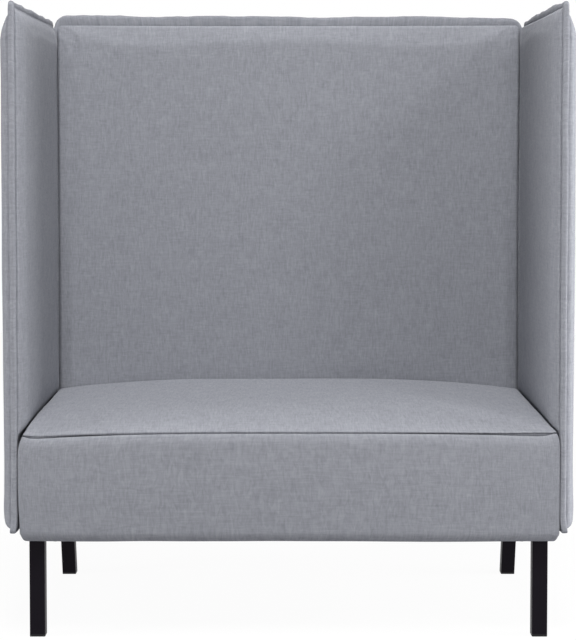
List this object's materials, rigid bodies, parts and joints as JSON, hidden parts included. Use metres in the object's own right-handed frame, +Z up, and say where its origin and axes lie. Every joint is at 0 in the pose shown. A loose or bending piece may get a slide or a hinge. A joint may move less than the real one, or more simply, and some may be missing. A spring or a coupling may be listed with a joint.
{
  "type": "high-back sofa",
  "caption": "High-back upholstered sofa with tall padded side and back panels, a domed seat and black square legs, for a screened place to sit in offices and lounges.",
  "frame": {"origin": "on the floor, under the middle of the sofa's bounding box", "axes": "+Z up, -Y the way the sitter faces, +X to the right of somebody who looks at the front"},
  "size_m": [1.268, 0.6597, 1.4049],
  "materials": {
    "grey_weave": "fine plain weave in mid grey with a cool tint, matte",
    "foam": "cut polyurethane foam, cream",
    "plywood": "sanded birch plywood, unfinished",
    "beech": "planed beech, unfinished",
    "webbing": "black elastic webbing",
    "felt": "needled grey felt",
    "black_lining": "black non-woven dust cover",
    "black_paint": "black powder coat, satin",
    "black_plastic": "moulded black plastic",
    "zinc_steel": "bright zinc plated steel"
  },
  "bodies": {
    "root": {"left_inner_cover": "grey_weave", "left_outer_cover": "grey_weave", "left_border_welt": "grey_weave", "right_inner_cover": "grey_weave", "right_outer_cover": "grey_weave", "right_border_welt": "grey_weave", "back_front_cover": "grey_weave", "back_rear_cover": "grey_weave", "back_border_welt": "grey_weave", "seat_top_cover": "grey_weave", "seat_border_cover": "grey_weave", "left_inner_pad": "foam", "left_outer_pad": "foam", "right_inner_pad": "foam", "right_outer_pad": "foam", "back_front_pad": "foam", "back_rear_pad": "foam", "seat_foam": "foam", "left_core": "plywood", "right_core": "plywood", "back_core": "plywood", "seat_front_rail": "beech", "seat_back_rail": "beech", "seat_left_rail": "beech", "seat_right_rail": "beech", "seat_centre_rails": "beech", "seat_corner_blocks": "beech", "seat_long_webbing": "webbing", "seat_cross_webbing": "webbing", "seat_felt": "felt", "seat_dust_cover": "black_lining", "front_left_leg": "black_paint", "front_right_leg": "black_paint", "rear_left_leg": "black_paint", "rear_right_leg": "black_paint", "leg_screws": "black_paint", "front_left_glide": "black_plastic", "front_right_glide": "black_plastic", "rear_left_glide": "black_plastic", "rear_right_glide": "black_plastic", "seat_side_bolts": "zinc_steel", "seat_back_bolts": "zinc_steel", "panel_joint_bolts": "zinc_steel", "bolt_washers": "zinc_steel", "tee_nuts": "zinc_steel", "barrel_nuts": "zinc_steel"}
  },
  "joints": []
}
